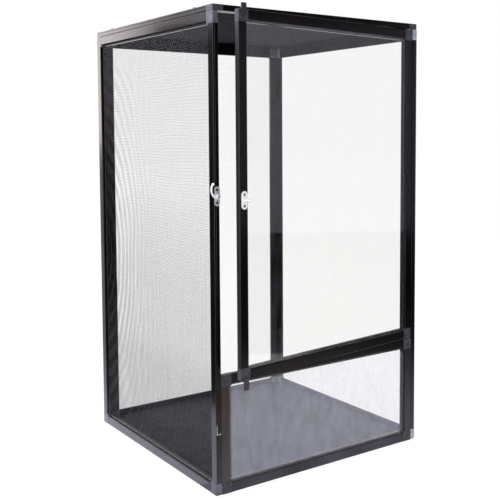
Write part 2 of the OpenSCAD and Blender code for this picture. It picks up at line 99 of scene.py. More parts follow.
def stretched(nodes, links, scale, turn=0.0):
    """Object coordinates, turned about Z by turn degrees and scaled along each axis."""
    place = nodes.new("ShaderNodeTexCoord")
    turned = nodes.new("ShaderNodeMapping")
    turned.inputs["Rotation"].default_value = (0.0, 0.0, math.radians(turn))
    links.new(place.outputs["Object"], turned.inputs["Vector"])
    mapping = nodes.new("ShaderNodeMapping")
    mapping.inputs["Scale"].default_value = scale
    links.new(turned.outputs["Vector"], mapping.inputs["Vector"])
    return mapping.outputs["Vector"]


def along_axes(nodes, links):
    """The X, Y and Z of Object coordinates, each as a number."""
    place = nodes.new("ShaderNodeTexCoord")
    split = nodes.new("ShaderNodeSeparateXYZ")
    links.new(place.outputs["Object"], split.inputs["Vector"])
    return split.outputs


# %% [markdown]
# Noise is the pattern that most of these finishes need: nothing on a used cage is quite even. It
# comes as a number from 0 to 1, mostly near the middle, so what reads it usually runs from 0.3 to
# 0.7. One Math node joins two patterns, or a pattern and a plain number.

# %% Helpers: noise and sums
NOISE_LOW = 0.3
NOISE_HIGH = 0.7


def noise(nodes, links, vector, scale, detail=2.0):
    """Noise from 0 to 1."""
    texture = nodes.new("ShaderNodeTexNoise")
    texture.inputs["Scale"].default_value = scale
    texture.inputs["Detail"].default_value = detail
    links.new(vector, texture.inputs["Vector"])
    return texture.outputs["Fac"]


def even_noise(nodes, links, scale, detail=2.0):
    """Noise that is the same size in every direction."""
    return noise(nodes, links, stretched(nodes, links, EVEN), scale, detail)


def combined(nodes, links, operation, first, second, clamp=False):
    """One Math node on two values."""
    node = nodes.new("ShaderNodeMath")
    node.operation = operation
    node.use_clamp = clamp
    links.new(first, node.inputs[0])
    links.new(second, node.inputs[1])
    return node.outputs[0]


def changed(nodes, links, operation, value, number):
    """One Math node on a value and a plain number."""
    node = nodes.new("ShaderNodeMath")
    node.operation = operation
    node.inputs[1].default_value = number
    links.new(value, node.inputs[0])
    return node.outputs[0]


print("noise is read from", NOISE_LOW, "to", NOISE_HIGH)

# %% [markdown]
# A pattern then becomes something that a shader can use: a number in a smaller range for roughness,
# a colour between two others, a colour laid over another, or a bump. What is the same all over a
# surface needs no pattern and is set on the shader's own socket.

# %% Helpers: from a pattern to a number, a colour or a bump
def between(nodes, links, value, low, high, start=NOISE_LOW, end=NOISE_HIGH):
    """A number from low to high as value goes from start to end."""
    remap = nodes.new("ShaderNodeMapRange")
    remap.inputs["From Min"].default_value = start
    remap.inputs["From Max"].default_value = end
    remap.inputs["To Min"].default_value = low
    remap.inputs["To Max"].default_value = high
    links.new(value, remap.inputs["Value"])
    return remap.outputs["Result"]


def colours(nodes, links, value, dark, light):
    """A colour from dark to light as noise goes from low to high."""
    ramp = nodes.new("ShaderNodeValToRGB")
    first, last = ramp.color_ramp.elements
    first.position = NOISE_LOW
    last.position = NOISE_HIGH
    first.color = (*dark, 1.0)
    last.color = (*light, 1.0)
    links.new(value, ramp.inputs["Fac"])
    return ramp.outputs["Color"]


def laid_over(nodes, links, cover, under, colour):
    """The colour under, with a plain colour over it where cover is 1."""
    node = nodes.new("ShaderNodeMix")
    node.data_type = "RGBA"
    node.inputs["B"].default_value = (*colour, 1.0)
    links.new(cover, node.inputs["Factor"])
    links.new(under, node.inputs["A"])
    return node.outputs["Result"]


def bump(nodes, links, height, distance, strength):
    """A normal that raises the surface by distance metres where height is 1."""
    node = nodes.new("ShaderNodeBump")
    node.inputs["Distance"].default_value = distance
    node.inputs["Strength"].default_value = strength
    links.new(height, node.inputs["Height"])
    return node.outputs["Normal"]


print("materials before the first finish:", len(bpy.data.materials))

# %% [markdown]
# The loaded parts already have material slots, and their meshes stay as they came. So a finish is
# put on by changing what is in the slots. A new slot would have to be given to every face.

# %% Helper: put a finish on parts
def paint(material, *names):
    """Puts a finish on CAD parts, in the slots that they already have."""
    for name in names:
        part = nodes_by_name[name]
        for part_slot in part.material_slots:
            part_slot.material = material
    print(material.name, "on", len(names), "parts")


print("slots to fill:", sum(len(part.material_slots) for part in nodes_by_name.values()))

# %% [markdown]
# An extrusion comes out of its die with fine lines along its length, and anodising keeps them. They
# could be cut into the mesh, but they are finer than a hair, so a noise that is stretched hard along
# the rail drives the roughness and a small bump instead. The dye is a near black that is never quite
# even. Near the floor a bluish grey is laid over it as a painted reflection of the pale floor. A faint
# red in the gloss is what black dye gives.

# %% Anodised section
# A painted reflection of the pale floor: its colour, its strength and the height where it ends.
PAINTED_FLOOR_REFLECTION = (0.33, 0.32, 0.42)
FLOOR_REFLECTION_COVER = 0.30
FLOOR_REFLECTION_TOP = 0.15
BLACK_DYE = ((0.0012, 0.0010, 0.0017), (0.0042, 0.0032, 0.0035))
DYE_GLOSS = (1.0, 0.86, 0.90)
DIE_LINE_HEIGHT = 0.00002


def anodised(name, along, turn=0.0, dye_range=BLACK_DYE, cover=FLOOR_REFLECTION_COVER, shine=0.2):
    """Anodised aluminium with fine lines along its length and a painted reflection of the floor near it.
    """
    material, nodes, links, shader = new_finish(name)
    lines = noise(nodes, links, stretched(nodes, links, along, turn), scale=1.0, detail=3.0)
    clouds = even_noise(nodes, links, scale=9.0, detail=4.0)
    dye = colours(nodes, links, clouds, *dye_range)
    height = along_axes(nodes, links)["Z"]
    # The bluish grey laid over the dye near the floor is a painted reflection of the pale floor.
    near_floor = between(nodes, links, height, low=cover, high=0.0, start=0.0, end=FLOOR_REFLECTION_TOP)
    near_floor = combined(nodes, links, "MULTIPLY", near_floor, clouds)
    links.new(laid_over(nodes, links, near_floor, dye, PAINTED_FLOOR_REFLECTION), shader.inputs["Base Color"])
    links.new(between(nodes, links, lines, low=0.15, high=0.25), shader.inputs["Roughness"])
    lines = bump(nodes, links, lines, distance=DIE_LINE_HEIGHT, strength=0.35)
    links.new(lines, shader.inputs["Normal"])
    shader.inputs["Specular IOR Level"].default_value = shine
    shader.inputs["Specular Tint"].default_value = (*DYE_GLOSS, 1.0)
    return material


# The painted reflection of the floor fades out at this height up the frame.
print("dust reaches", FLOOR_REFLECTION_TOP, "m up the frame")

# %% [markdown]
# The lines have to run along each rail, so the finish is made once for every axis, and once more for
# the door's level rails, which stand ajar. One finish on the parts' own axes would be shorter, but
# the parts all share the cage's axes. A few rails differ: the bottom rails at the right and the back
# lie in the shade beside the floor board, so their finish is painted shade: it hardly shines and has
# no painted floor reflection. The two stiles of the low front panel were dyed in other batches, one
# faded to brown and one a little violet.

# %% Rails and stiles
DOOR_AJAR = 6.8
ACROSS_LINES = 1100.0
DOWN_LINES = 4.0
ALONG_X = (DOWN_LINES, ACROSS_LINES, ACROSS_LINES)
ALONG_Y = (ACROSS_LINES, DOWN_LINES, ACROSS_LINES)
ALONG_Z = (ACROSS_LINES, ACROSS_LINES, DOWN_LINES)
SHADED_SHINE = 0.03
FADED_DYE = ((0.026, 0.017, 0.013), (0.044, 0.030, 0.023))
VIOLET_DYE = ((0.006, 0.0055, 0.010), (0.014, 0.013, 0.022))

paint(anodised("anodised_along_x", ALONG_X),
      "back_top_rail", "lid_front_rail", "lid_rear_rail", "lower_top_rail", "lower_bottom_rail")
# Painted shade: these bottom rails hardly shine and get no painted floor reflection.
paint(anodised("anodised_shaded_x", ALONG_X, cover=0.0, shine=SHADED_SHINE), "back_bottom_rail")
paint(anodised("anodised_along_y", ALONG_Y),
      "left_top_rail", "left_bottom_rail", "right_top_rail", "lid_left_rail", "lid_right_rail")
paint(anodised("anodised_shaded_y", ALONG_Y, cover=0.0, shine=SHADED_SHINE), "right_bottom_rail")
paint(anodised("anodised_along_z", ALONG_Z),
      "left_rear_stile", "right_front_stile", "right_rear_stile",
      "back_left_stile", "back_right_stile", "door_free_stile", "door_hinge_stile")
paint(anodised("anodised_faded", ALONG_Z, dye_range=FADED_DYE), "lower_left_stile")
paint(anodised("anodised_violet", ALONG_Z, dye_range=VIOLET_DYE), "lower_right_stile")
paint(anodised("anodised_on_door", ALONG_X, turn=-DOOR_AJAR), "door_top_rail", "door_bottom_rail")

# %% [markdown]
# One stile has been knocked: a short bright scuff, bent like an L, runs up its front face and across
# it near the floor. A scratch so small needs no mesh. Each stroke is a thin box, drawn by two Compare
# nodes on the width and the height, and a fine noise breaks it up. Bare metal is then laid over the
# dye by cutting into the finish that was made above.

# %% The scuffed stile
SCUFF_UPRIGHT = {"X": (-0.2236, 0.0006), "Z": (0.1110, 0.0085)}
SCUFF_LEVEL = {"X": (-0.2195, 0.0048), "Z": (0.1030, 0.0008)}
BARE_METAL = (0.75, 0.75, 0.78)
GRIT_SCALE = 900.0


def near(nodes, links, value, middle, reach):
    """1 where value is within reach of middle, and 0 elsewhere."""
    node = nodes.new("ShaderNodeMath")
    node.operation = "COMPARE"
    node.inputs[1].default_value = middle
    node.inputs[2].default_value = reach
    links.new(value, node.inputs[0])
    return node.outputs[0]


def inside_box(nodes, links, box):
    """1 inside a box that gives (middle, reach) on X and on Z, and 0 outside it."""
    axes = along_axes(nodes, links)
    across = near(nodes, links, axes["X"], *box["X"])
    up = near(nodes, links, axes["Z"], *box["Z"])
    return combined(nodes, links, "MULTIPLY", across, up)


scuffed = anodised("anodised_scuffed", ALONG_Z)
nodes, links = scuffed.node_tree.nodes, scuffed.node_tree.links
strokes = [inside_box(nodes, links, box) for box in (SCUFF_UPRIGHT, SCUFF_LEVEL)]
mark = combined(nodes, links, "MAXIMUM", *strokes)
grit = even_noise(nodes, links, GRIT_SCALE)
grit = between(nodes, links, grit, low=0.0, high=1.0)
mark = combined(nodes, links, "MULTIPLY", mark, grit)
base_colour = nodes["Principled BSDF"].inputs["Base Color"]
dye = base_colour.links[0].from_socket
links.new(laid_over(nodes, links, mark, dye, BARE_METAL), base_colour)
paint(scuffed, "left_front_stile")

# %% [markdown]
# The corner keys are moulded in a smoky plastic that looks grey beside the black rails. Light that
# sinks in and comes out again could be made with subsurface, but on pieces this small a cloudy grey
# with a cool gloss does as well and renders faster. Mould flow leaves soft, wide swirls, not a fine
# grain. The right side's keys are painted much paler for the light that shines through them from
# behind, and those of the left and back panels a little paler, as painted light on their lit faces;
# the rest are as dark as they were moulded.

# %% Smoke-grey corner keys
KEY_GLOSS = (0.80, 0.84, 1.0)
PLASTIC_IOR = 1.49


def smoke_plastic(name, dark, light):
    """Cloudy, smooth plastic between two greys."""
    material, nodes, links, shader = new_finish(name)
    flow = even_noise(nodes, links, scale=130.0, detail=3.0)
    fine = even_noise(nodes, links, scale=900.0, detail=1.0)
    links.new(colours(nodes, links, flow, dark, light), shader.inputs["Base Color"])
    links.new(between(nodes, links, flow, low=0.26, high=0.40), shader.inputs["Roughness"])
    links.new(bump(nodes, links, fine, distance=0.00005, strength=0.2), shader.inputs["Normal"])
    shader.inputs["IOR"].default_value = PLASTIC_IOR
    shader.inputs["Specular IOR Level"].default_value = 0.3
    shader.inputs["Specular Tint"].default_value = (*KEY_GLOSS, 1.0)
    return material


# Painted light: the right keys are much paler for light through them from behind, and the left and back
# keys a little paler for light on their lit faces.
backlit_keys = smoke_plastic("backlit_smoke_plastic", dark=(0.20, 0.23, 0.27), light=(0.42, 0.47, 0.53))
pale = smoke_plastic("pale_smoke_plastic", dark=(0.072, 0.070, 0.094), light=(0.150, 0.147, 0.188))
smoke = smoke_plastic("smoke_plastic", dark=(0.030, 0.029, 0.036), light=(0.060, 0.057, 0.068))
paint(backlit_keys, "right_corner_keys")
paint(pale, "left_corner_keys", "back_corner_keys")
paint(smoke, "lid_corner_keys", "lid_hinge_key", "lower_corner_keys", "lower_hinge_key",
      "door_free_keys", "door_hinge_keys")

# %% [markdown]
# A rubber strip presses each screen into its groove. Rubber is matt. The lowest few centimetres of
# the left side's strip are a mottled olive grey, and above them it is plain and dark. The lid's strip
# is the same rubber, far from the floor. The right side and the back have a blacker one. The ribs
# round a strip could be modelled, but they are too fine to count from here, so a very small noise in
# the bump stands for them.

# %% Rubber strips round the screens
DARK_RUBBER = (0.022, 0.021, 0.020)
OLIVE_BELOW = 0.02
DARK_ABOVE = 0.06


def rubber(name, dark, light):
    """Matt rubber, mottled from dark to light near the floor, and plain dark above it."""
    material, nodes, links, shader = new_finish(name)
    dust = even_noise(nodes, links, scale=220.0, detail=4.0)
    ribs = even_noise(nodes, links, scale=1500.0, detail=1.0)
    height = along_axes(nodes, links)["Z"]
    # Mottled olive grey below a few centimetres, plain dark above.
    above = between(nodes, links, height, low=0.0, high=1.0, start=OLIVE_BELOW, end=DARK_ABOVE)
    near_floor = colours(nodes, links, dust, dark, light)
    links.new(laid_over(nodes, links, above, near_floor, DARK_RUBBER), shader.inputs["Base Color"])
    links.new(between(nodes, links, dust, low=0.62, high=0.82), shader.inputs["Roughness"])
    links.new(bump(nodes, links, ribs, distance=0.0001, strength=0.4), shader.inputs["Normal"])
    return material


olive = rubber("olive_rubber", dark=(0.085, 0.083, 0.062), light=(0.32, 0.30, 0.22))
black_rubber = rubber("blacker_rubber", dark=(0.014, 0.014, 0.014), light=(0.030, 0.029, 0.028))
paint(olive, "left_spline", "lid_spline")
paint(black_rubber, "right_spline", "back_spline")

# %% [markdown]
# The panes lie in a strip of clear soft plastic. It could be a Transparent shader, as the panes are,
# but the black rail right behind it is all that would show through. So it is simply dark, with a
# strong, sharp gloss that catches a thin bright line here and there.

# %% Clear strips round the panes
def clear_strip(name):
    """Glossy strip that takes the dark of the rail behind it."""
    material, nodes, links, shader = new_finish(name)
    cloud = even_noise(nodes, links, scale=90.0, detail=3.0)
    tint = colours(nodes, links, cloud, dark=(0.050, 0.050, 0.060), light=(0.095, 0.095, 0.110))
    links.new(tint, shader.inputs["Base Color"])
    links.new(between(nodes, links, cloud, low=0.10, high=0.20), shader.inputs["Roughness"])
    shader.inputs["Specular IOR Level"].default_value = 0.7
    return material


paint(clear_strip("clear_strip"), "lower_gasket", "door_gasket")

# %% [markdown]
# Clear acrylic could be a true refracting solid, but a flat sheet hardly bends what is seen through
# it, and lamps have to pass. So the sheet is mostly a Transparent shader, mixed with a sharp gloss
# that grows towards a grazing view. Layer Weight's Facing, raised to the fifth power, grows in the
# same way as the reflection of a real sheet.

# %% The clear sheet
SHEET_COLOUR = (1.0, 0.998, 0.992)
SHEET_ROUGHNESS = 0.03
GLOSS_STRAIGHT_ON = 0.045


def mixed_shaders(nodes, links, share, first, second):
    """The first shader where share is 0 and the second where it is 1."""
    node = nodes.new("ShaderNodeMixShader")
    links.new(share, node.inputs["Fac"])
    links.new(first, node.inputs[1])
    links.new(second, node.inputs[2])
    return node.outputs["Shader"]


def clear_sheet(nodes, links):
    """A clear shader with a gloss that grows towards a grazing view."""
    clear = nodes.new("ShaderNodeBsdfTransparent")
    clear.inputs["Color"].default_value = (*SHEET_COLOUR, 1.0)
    gloss = nodes.new("ShaderNodeBsdfGlossy")
    gloss.inputs["Roughness"].default_value = SHEET_ROUGHNESS
    weight = nodes.new("ShaderNodeLayerWeight")
    weight.inputs["Blend"].default_value = 0.5
    steep = changed(nodes, links, "POWER", weight.outputs["Facing"], 5.0)
    share = between(nodes, links, steep, low=GLOSS_STRAIGHT_ON, high=1.0, start=0.0, end=1.0)
    return mixed_shaders(nodes, links, share, clear.outputs["BSDF"], gloss.outputs["BSDF"])


print("gloss seen straight on:", GLOSS_STRAIGHT_ON)

# %% [markdown]
# A pane in use is never quite clear: a damp cloth leaves long, faint marks and dust leaves specks. A
# real sheet would carry that as a second layer, and here it is a cool grey Diffuse shader that is
# mixed in wherever the cover, a sum of two noises, is above 0. The low pane is splashed and wiped the
# most. A cloth doesn't get into the corner of the frame, least of all beside the hinge post, so that
# pane's marks stop short of its rim.

# %% Dust and wiping marks on the panes
PANE_DUST = (0.68, 0.70, 0.86)
WIPING = (85.0, 85.0, 30.0)
WIPING_TURN = 20.0
PANE_RIM = 0.0045


def acrylic(name, veil_low, veil_high, speck, wiped_box=None):
    """Clear sheet under a veil of wiping marks and specks, inside wiped_box if there is one."""
    material, nodes, links, shader = new_finish(name)
    nodes.remove(shader)
    dust = nodes.new("ShaderNodeBsdfDiffuse")
    dust.inputs["Color"].default_value = (*PANE_DUST, 1.0)
    wiped = stretched(nodes, links, WIPING, WIPING_TURN)
    wiped = noise(nodes, links, wiped, scale=1.0, detail=4.0)
    wiped = between(nodes, links, wiped, low=veil_low, high=veil_high, start=0.36, end=0.64)
    specks = even_noise(nodes, links, scale=170.0, detail=3.0)
    specks = between(nodes, links, specks, low=0.0, high=speck, start=0.56, end=0.72)
    cover = combined(nodes, links, "ADD", wiped, specks)
    if wiped_box:
        cover = combined(nodes, links, "MULTIPLY", cover, inside_box(nodes, links, wiped_box))
    sheet = clear_sheet(nodes, links)
    veiled = mixed_shaders(nodes, links, cover, sheet, dust.outputs["BSDF"])
    links.new(veiled, nodes["Material Output"].inputs["Surface"])
    return material


def middle_and_reach(low, high):
    """A stretch from low to high as Compare nodes want it."""
    return (low + high) / 2, (high - low) / 2


low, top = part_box("lower_pane")
wiped_box = {"X": middle_and_reach(low.x + PANE_RIM, top.x - 2 * PANE_RIM),
             "Z": middle_and_reach(low.z + PANE_RIM, top.z - PANE_RIM)}
paint(acrylic("door_acrylic", veil_low=0.003, veil_high=0.014, speck=0.01), "door_pane")
lower_acrylic = acrylic("lower_acrylic", veil_low=0.112, veil_high=0.172, speck=0.07,
                        wiped_box=wiped_box)
paint(lower_acrylic, "lower_pane")

# %% [markdown]
# The floor is a loose board of dark foamed sheet. Use has scuffed it, so a coarse noise lightens it
# in patches and a fine one breaks up its sheen. It is close to matt: foamed sheet has a skin of tiny
# pits, which the bump stands for.

# %% Floor board
material, nodes, links, shader = new_finish("floor_sheet")
patches = even_noise(nodes, links, scale=45.0, detail=6.0)
grain = even_noise(nodes, links, scale=700.0)
board = colours(nodes, links, patches, dark=(0.016, 0.015, 0.022), light=(0.052, 0.049, 0.062))
links.new(board, shader.inputs["Base Color"])
links.new(between(nodes, links, grain, low=0.42, high=0.58), shader.inputs["Roughness"])
links.new(bump(nodes, links, grain, distance=0.0001, strength=0.3), shader.inputs["Normal"])
shader.inputs["Specular IOR Level"].default_value = 0.05
paint(material, "floor_board")

# %% [markdown]
# The catch and the keeper are chrome plated. A pure metal would only mirror what stands round it,
# and in a white room with dark cards such small pieces come out black or white by chance. So the
# chrome here is partly metal and partly bright and matt, as worn plating looks. The catch's plate and
# rivet are painted darker in patches, as painted shade from the hook and painted reflection of the
# dark post beside them. The hinge pins are plain steel, the lid's and the back's screws blackened.

# %% Small metal parts
CHROME_BRIGHT = (0.97, 0.97, 0.98)


def metal(name, bright, wear_and_shade, smooth, rough, metallic=1.0):
    """Metal that is bright and smooth, or darker and rough where it is smeared; on the catch's plate and
    rivet the darker colour is painted shade.
    """
    material, nodes, links, shader = new_finish(name)
    smear_and_shade = even_noise(nodes, links, scale=350.0, detail=4.0)
    links.new(colours(nodes, links, smear_and_shade, wear_and_shade, bright), shader.inputs["Base Color"])
    links.new(between(nodes, links, smear_and_shade, low=rough, high=smooth), shader.inputs["Roughness"])
    shader.inputs["Metallic"].default_value = metallic
    return material


chrome = metal("bright_chrome", CHROME_BRIGHT, wear_and_shade=(0.86, 0.87, 0.89),
               smooth=0.20, rough=0.32, metallic=0.25)
# Darker patches on the catch's plate and rivet: painted shade and painted reflection of the dark post.
shaded_chrome = metal("chrome_with_painted_shade", CHROME_BRIGHT, wear_and_shade=(0.42, 0.44, 0.50),
                smooth=0.20, rough=0.32, metallic=0.5)
screw_steel = metal("screw_steel", (0.40, 0.41, 0.44), wear_and_shade=(0.22, 0.23, 0.26),
                    smooth=0.18, rough=0.30)
steel = metal("bare_steel", (0.56, 0.56, 0.57), wear_and_shade=(0.42, 0.42, 0.43),
              smooth=0.22, rough=0.40)
black_steel = metal("black_steel", (0.060, 0.058, 0.058), wear_and_shade=(0.11, 0.11, 0.11),
                    smooth=0.30, rough=0.45)
paint(chrome, "catch_hook", "keeper_plate", "keeper_stud")
paint(shaded_chrome, "catch_plate", "catch_rivet")
paint(screw_steel, "catch_screws", "keeper_screws")
paint(steel, "door_hinge_pins")
paint(black_steel, "lid_screws", "back_screws")

# %% [markdown]
# Two small things are black plastic: the door's stop tabs and the washer that it turns on. Their
# mould was blasted, so the fine noise goes into both the roughness and the bump.

# %% Small plastic parts
def black_plastic(name):
    """Black plastic with the fine grain of a blasted mould."""
    material, nodes, links, shader = new_finish(name)
    grain = even_noise(nodes, links, scale=1200.0)
    cloud = even_noise(nodes, links, scale=60.0, detail=3.0)
    tint = colours(nodes, links, cloud, dark=(0.018, 0.018, 0.021), light=(0.032, 0.032, 0.036))
    links.new(tint, shader.inputs["Base Color"])
    links.new(between(nodes, links, grain, low=0.36, high=0.52), shader.inputs["Roughness"])
    links.new(bump(nodes, links, grain, distance=0.00005, strength=0.3), shader.inputs["Normal"])
    return material


paint(black_plastic("black_plastic"), "door_stops", "hinge_washer")

# %% [markdown]
# Now the only pieces that are modelled here: the screens. Operators act on all that is selected, and
# loading leaves parts selected, so everything is deselected before each new piece. Faces are then
# chosen in code, by their place and the way they point, as they would be by hand.

# %% Helpers for modelling
def deselect_all():
    """Leaves edit mode and selects nothing."""
    if bpy.context.object and bpy.context.object.mode != "OBJECT":
        bpy.ops.object.mode_set(mode="OBJECT")
    bpy.ops.object.select_all(action="DESELECT")


def select_only(piece):
    """Selects one piece and makes it the active one."""
    deselect_all()
    piece.select_set(True)
    bpy.context.view_layer.objects.active = piece


def select_faces(piece, wanted):
    """In edit mode, selects the faces that wanted(centre, normal) says yes to."""
    bpy.ops.mesh.select_all(action="DESELECT")
    bpy.ops.object.mode_set(mode="OBJECT")
    for face in piece.data.polygons:
        face.select = bool(wanted(face.center, face.normal))
    bpy.ops.object.mode_set(mode="EDIT")


def apply_modifier(piece, kind, **settings):
    """Adds a modifier, sets it up and applies it."""
    bpy.context.view_layer.objects.active = piece
    bpy.ops.object.modifier_add(type=kind)
    modifier = piece.modifiers[-1]
    for key, value in settings.items():
        setattr(modifier, key, value)
    bpy.ops.object.modifier_apply(modifier=modifier.name)


deselect_all()
print("selected now:", len(bpy.context.selected_objects))

# %% [markdown]
# Insect screen is thin black wire, coated so that the wires are bonded where they cross. It could be
# painted on a sheet with a transparent grid, but then it would have no depth, and no wires in the
# exported mesh. So one wire is modelled: a long, thin box, cut with bisect into lengths that can bow
# a little later. The end pieces of its lower face are extruded down as tails into the groove. Bisect
# makes no cut closer than a tenth of a millimetre to an end, so a wire thinner than that stays plain.

# %% One wire
WIRE_CUTS = 14
TAIL = 0.0012


def wire(length, thick):
    """One wire along X, centred on the origin, with its ends turned down."""
    deselect_all()
    bpy.ops.mesh.primitive_cube_add(size=1.0, location=(0.0, 0.0, 0.0))
    piece = bpy.context.object
    piece.scale = (length, thick, thick)
    bpy.ops.object.transform_apply(location=False, rotation=False, scale=True)
    bpy.ops.object.mode_set(mode="EDIT")
    half = length / 2
    places = [half * (2 * i / WIRE_CUTS - 1) for i in range(1, WIRE_CUTS)]
    for place in [thick - half, *places, half - thick]:
        bpy.ops.mesh.select_all(action="SELECT")
        bpy.ops.mesh.bisect(plane_co=(place, 0.0, 0.0), plane_no=(1.0, 0.0, 0.0))
    select_faces(piece, lambda c, n: n.z < -0.9 and abs(c.x) > half - thick)
    bpy.ops.mesh.extrude_region_move(TRANSFORM_OT_translate={"value": (0.0, 0.0, -TAIL)})
    bpy.ops.object.mode_set(mode="OBJECT")
    return piece


print("a wire is cut in", WIRE_CUTS, "lengths, and its tails are", TAIL, "m long")

# %% [markdown]
# A screen needs a few hundred wires. Copying them one by one would take as many objects, so an Array
# modifier repeats the wire at the screen's pitch. The set is then moved to sit evenly about the
# origin, and lifted a little, because one set of wires lies on top of the other.

# %% A set of wires
def wire_set(length, across, thick, pitch, lift):
    """Wires of one length, pitch apart, over the width across, lifted by lift."""
    piece = wire(length, thick)
    count = int(across / pitch)
    apply_modifier(piece, "ARRAY", count=count, use_relative_offset=False,
                   use_constant_offset=True, constant_offset_displace=(0.0, pitch, 0.0))
    select_only(piece)
    piece.location = (0.0, -pitch * (count - 1) / 2, lift)
    bpy.ops.object.transform_apply(location=True, rotation=False, scale=False)
    return piece, count


print("pieces before the screens:", len(bpy.data.meshes))

# %% [markdown]
# Two sets at right angles make a screen. A real one is never pulled quite even, so two Displace
# modifiers with a soft cloud texture shift the wires sideways by up to 0.8 mm, which makes the
# faint waves that are seen in a tight screen. The panel is made lying flat, because that is easy, and
# then stood up in its place with one rotation and one move, and both are applied. It takes the place
# of the plain sheet and rides on the cabinet.

# %% A woven screen
WAVES = bpy.data.textures.new("screen_waves", "CLOUDS")
WAVES.noise_scale = 0.11
WAVES.noise_depth = 1
WAVE_SIZE = 0.0016


def woven_screen(name, node, body, wide, high, thick, pitch, turn, finish):
    """Builds a screen flat, wide by high, and stands it where the CAD sheet is."""
    across, across_count = wire_set(wide, high, thick, pitch, thick / 2)
    down, down_count = wire_set(high, wide, thick, pitch, -thick / 2)
    select_only(down)
    down.rotation_euler = (0.0, 0.0, math.pi / 2)
    bpy.ops.object.transform_apply(location=False, rotation=True, scale=False)
    across.select_set(True)
    bpy.context.view_layer.objects.active = across
    bpy.ops.object.join()
    screen = across
    screen.name = name
    screen.data.name = name
    for axis in "XY":
        apply_modifier(screen, "DISPLACE", texture=WAVES, texture_coords="LOCAL",
                       direction=axis, strength=WAVE_SIZE, mid_level=0.5)
    low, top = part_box(node)
    screen.rotation_euler = turn
    screen.location = (low + top) / 2
    select_only(screen)
    bpy.ops.object.transform_apply(location=True, rotation=True, scale=False)
    screen.data.materials.append(finish)
    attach(screen, body)
    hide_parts(node)
    print(name, across_count, "+", down_count, "wires,", len(screen.data.polygons), "faces")
    return screen


print("the waves are about", round(WAVES.noise_scale, 2), "m across")

# %% [markdown]
# Three of the screens need only a coated wire with a little dust in it. The coating is nearly matt,
# and a lower Specular keeps the wires from glittering. The lid's screen is seen from below, in its
# own shade, and its wire is painted darker as painted shade.

# %% Coated wire
DUST_ON_WIRE = {"scale": 45.0, "detail": 5.0}
WIRE_SHINE = 0.1


def coated(nodes, links, shader):
    """Makes a shader as dull as coated wire, and gives back the dust that dulls it."""
    dust = even_noise(nodes, links, **DUST_ON_WIRE)
    links.new(between(nodes, links, dust, low=0.45, high=0.65), shader.inputs["Roughness"])
    shader.inputs["Specular IOR Level"].default_value = WIRE_SHINE
    return dust


def screen_finish(name, dark, light):
    """Coated wire with a little dust on it."""
    material, nodes, links, shader = new_finish(name)
    dust = coated(nodes, links, shader)
    links.new(colours(nodes, links, dust, dark, light), shader.inputs["Base Color"])
    return material


screen_black = screen_finish("screen_black", dark=(0.020, 0.020, 0.024), light=(0.050, 0.050, 0.056))
# The lid's wire is painted darker: painted shade.
screen_lid = screen_finish("screen_lid", dark=(0.006, 0.006, 0.009), light=(0.014, 0.013, 0.021))
print("wire finishes:", screen_black.name, screen_lid.name)

# %% [markdown]
# The left screen is the one that is seen close by. Its wires are thinner to the eye towards the top,
# and they show the slow bands that come up where two fine grids overlap. The true bands need a grid
# as fine as the real one, which is more wires than one piece may have. So the wires let some light
# through: a cover by height, read from a few stops, and waves that add to it or take from it. These
# two helpers make them, one from a Wave texture and one from a colour ramp.

# %% Helpers: waves, and a level by height
BEND_LENGTH = 12.0


def waves(nodes, links, vector, kind, period, distortion=5.0):
    """Level bands, or rings about X, period metres apart, bent by a slow noise."""
    unit = 20.0 * period / (2.0 * math.pi)
    wave = nodes.new("ShaderNodeTexWave")
    wave.wave_type = kind
    wave.bands_direction = "Z"
    wave.rings_direction = "X"
    wave.inputs["Scale"].default_value = 1.0 / unit
    wave.inputs["Distortion"].default_value = distortion
    wave.inputs["Detail"].default_value = 1.0
    wave.inputs["Detail Scale"].default_value = BEND_LENGTH * unit
    links.new(vector, wave.inputs["Vector"])
    return wave.outputs["Fac"]


def profile(nodes, links, value, stops, tint=EVEN):
    """A level, or that level of a tint, read from (place, level) stops along value."""
    ramp = nodes.new("ShaderNodeValToRGB")
    band = ramp.color_ramp
    while len(band.elements) < len(stops):
        band.elements.new(1.0)
    for element, (place, level) in zip(band.elements, stops):
        element.position = place
        element.color = (*(level * part for part in tint), 1.0)
    links.new(value, ramp.inputs["Fac"])
    return ramp.outputs["Color"]


# each stop is (metres above the base, level)
COVER_BY_HEIGHT = ((0.05, 0.84), (0.17, 0.78), (0.22, 0.54), (0.34, 0.50), (0.50, 0.21), (0.75, 0.24))
# The wire's colour by height is painted light: a little lighter near the floor, dark in the middle, and
# much lighter near the lid.
PAINTED_LIGHT_BY_HEIGHT = ((0.02, 0.045), (0.10, 0.085), (0.25, 0.035), (0.50, 0.05), (0.72, 0.29))
WIRE_BLUE = (0.86, 0.86, 1.0)
print("the wires cover", COVER_BY_HEIGHT[0][1], "at the bottom and", COVER_BY_HEIGHT[-1][1], "at the top")

# %% [markdown]
# Two kinds of wave lie over one another. Level bands, a few millimetres apart, run all over. Wide
# rings, twice as tall as they are broad, open out from the screen's back edge; they are strong there
# and fade towards the front and the top. Near the lid both are calm. Rings on Object coordinates
# could only be round, so a Mapping node squeezes the height first.

# %% Waves in the left screen
LEVEL_WAVES = 0.0055
LEVEL_STRENGTH = 0.07
RING_WAVES = 0.017
RING_STRENGTH = 0.40
RING_MIDDLE = (0.0, 0.225, 0.36)
RING_TALL = 2.0


def level_waves(nodes, links, place):
    """Level bands all over the screen."""
    level = waves(nodes, links, place, "BANDS", LEVEL_WAVES)
    return between(nodes, links, level, low=-LEVEL_STRENGTH, high=LEVEL_STRENGTH,
                   start=0.0, end=1.0)


